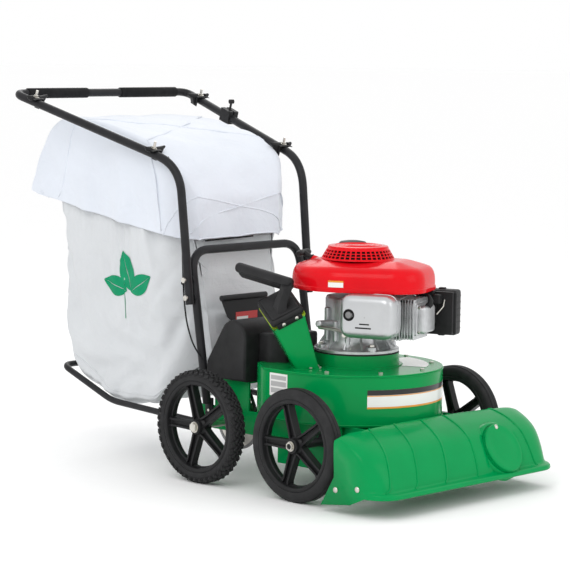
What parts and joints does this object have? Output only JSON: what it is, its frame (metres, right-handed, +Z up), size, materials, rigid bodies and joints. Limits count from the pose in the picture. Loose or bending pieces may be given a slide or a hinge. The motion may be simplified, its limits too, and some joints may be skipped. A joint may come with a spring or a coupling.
{
  "type": "leaf vacuum mulcher",
  "caption": "Walk-behind leaf vacuum mulcher: wide front nozzle, engine-driven blower, chipper chute, belt and chain drive to the rear wheels and a debris bag hung from the handle.",
  "frame": {"origin": "on the ground under the middle of the machine's bounding box; the rear axle is 60 mm in front of it", "axes": "+X to the machine's left, +Y to the rear (handle end), -Y to the front (nozzle), +Z up"},
  "size_m": [0.778, 1.6135, 1.119],
  "materials": {
    "painted_green": "gloss powder coat",
    "green_plastic": "satin moulded",
    "black_paint": "satin powder coat",
    "black_plastic": "moulded",
    "wheel_black": "moulded rim",
    "tyre_rubber": "moulded rubber",
    "rubber_black": "matt",
    "trim_yellow": "matt edge trim",
    "red_plastic": "gloss",
    "cast_alloy": "die cast",
    "bright_steel": "zinc plated",
    "dark_steel": "oiled",
    "bag_cloth": "woven polyester"
  },
  "bodies": {
    "chassis": {"main_frame": "painted_green", "axle_bearings": "bright_steel", "front_axle_brackets": "black_paint", "front_axle_nuts": "bright_steel", "housing": "painted_green", "housing_top": "painted_green", "engine_collar": "painted_green", "flange_gasket": "rubber_black", "crankcase": "cast_alloy", "cylinder_head": "cast_alloy", "muffler": "dark_steel", "muffler_guard": "bright_steel", "carburetor": "black_plastic", "air_cleaner_cover": "black_plastic", "engine_shroud": "red_plastic", "recoil_cover": "red_plastic", "fuel_tank": "black_plastic", "nozzle": "green_plastic", "nozzle_bolts": "bright_steel", "hose_port": "green_plastic", "chipper_chute": "painted_green", "chute_trim": "trim_yellow", "discharge_duct": "black_paint", "bag_mouth_plate": "black_paint", "drive_guard": "black_paint", "gearbox": "cast_alloy", "drive_belt": "rubber_black", "drive_chain": "bright_steel", "lower_handle": "black_paint", "upper_handle": "black_paint", "frame_bolts": "bright_steel", "handle_grips": "rubber_black", "bag_hangers": "black_paint", "bag_support": "black_paint", "bag": "bag_cloth", "bag_cover": "bag_cloth", "throttle_housing": "black_plastic", "control_cables": "black_plastic"},
    "rear_axle_assembly": {"rear_axle": "bright_steel", "axle_sprocket": "bright_steel", "rear_rim_left": "wheel_black", "rear_rim_right": "wheel_black", "rear_tyre_left": "tyre_rubber", "rear_tyre_right": "tyre_rubber", "rear_axle_nuts": "bright_steel"},
    "front_left_wheel": {"front_rim_left": "wheel_black", "front_tyre_left": "tyre_rubber"},
    "front_right_wheel": {"front_rim_right": "wheel_black", "front_tyre_right": "tyre_rubber"},
    "engine_rotor": {"crankshaft": "bright_steel", "impeller": "dark_steel", "flywheel": "cast_alloy", "engine_pulley": "cast_alloy"},
    "gearbox_input": {"gearbox_pulley": "cast_alloy"},
    "gearbox_output": {"output_sprocket": "bright_steel"},
    "port_cover": {"port_cover": "green_plastic"},
    "chipper_plug": {"chipper_plug": "black_plastic"},
    "fuel_cap": {"fuel_cap": "black_plastic"},
    "starter_grip": {"starter_grip": "black_plastic"},
    "throttle_lever": {"throttle_lever": "black_plastic"}
  },
  "joints": [
    {"name": "rear_axle_spin", "type": "hinge", "parent": "chassis", "child": "rear_axle_assembly", "pos_m": [0, -0.06, 0.165], "axis": [1, 0, 0], "continuous": true},
    {"name": "front_left_wheel_spin", "type": "hinge", "parent": "chassis", "child": "front_left_wheel", "pos_m": [0.345, -0.444, 0.16], "axis": [1, 0, 0], "continuous": true},
    {"name": "front_right_wheel_spin", "type": "hinge", "parent": "chassis", "child": "front_right_wheel", "pos_m": [-0.345, -0.444, 0.16], "axis": [1, 0, 0], "continuous": true},
    {"name": "engine_spin", "type": "hinge", "parent": "chassis", "child": "engine_rotor", "pos_m": [0, -0.35, 0.4], "axis": [0, 0, 1], "continuous": true},
    {"name": "gearbox_input_spin", "type": "hinge", "parent": "chassis", "child": "gearbox_input", "pos_m": [-0.176, -0.052, 0.366], "axis": [0, 0, 1], "continuous": true},
    {"name": "gearbox_output_spin", "type": "hinge", "parent": "chassis", "child": "gearbox_output", "pos_m": [-0.19, -0.052, 0.315], "axis": [1, 0, 0], "continuous": true},
    {"name": "port_cover_swing", "type": "hinge", "parent": "chassis", "child": "port_cover", "pos_m": [0.165, -0.7305, 0.18656], "axis": [0, -0.866, 0.5], "range_deg": [0, 180]},
    {"name": "chipper_plug_lift", "type": "slide", "parent": "chassis", "child": "chipper_plug", "axis": [-0.5919, -0.093, 0.8006], "range_m": [0, 0.15]},
    {"name": "fuel_cap_turn", "type": "hinge", "parent": "chassis", "child": "fuel_cap", "pos_m": [0.08404, -0.25343, 0.68], "axis": [0, 0, 1], "range_deg": [0, 90]},
    {"name": "starter_pull", "type": "slide", "parent": "chassis", "child": "starter_grip", "axis": [-0.2962, 0.8138, 0.5], "range_m": [0, 0.3]},
    {"name": "throttle_lever_swing", "type": "hinge", "parent": "chassis", "child": "throttle_lever", "pos_m": [0.32645, 0.50964, 1.04581], "axis": [0.9866, -0.1631, 0], "range_deg": [-25, 25]}
  ],
  "couplings": [
    {"joint": "gearbox_output_spin", "follows": "rear_axle_spin", "ratio": 4},
    {"joint": "gearbox_input_spin", "follows": "engine_spin", "ratio": 0.64444}
  ]
}
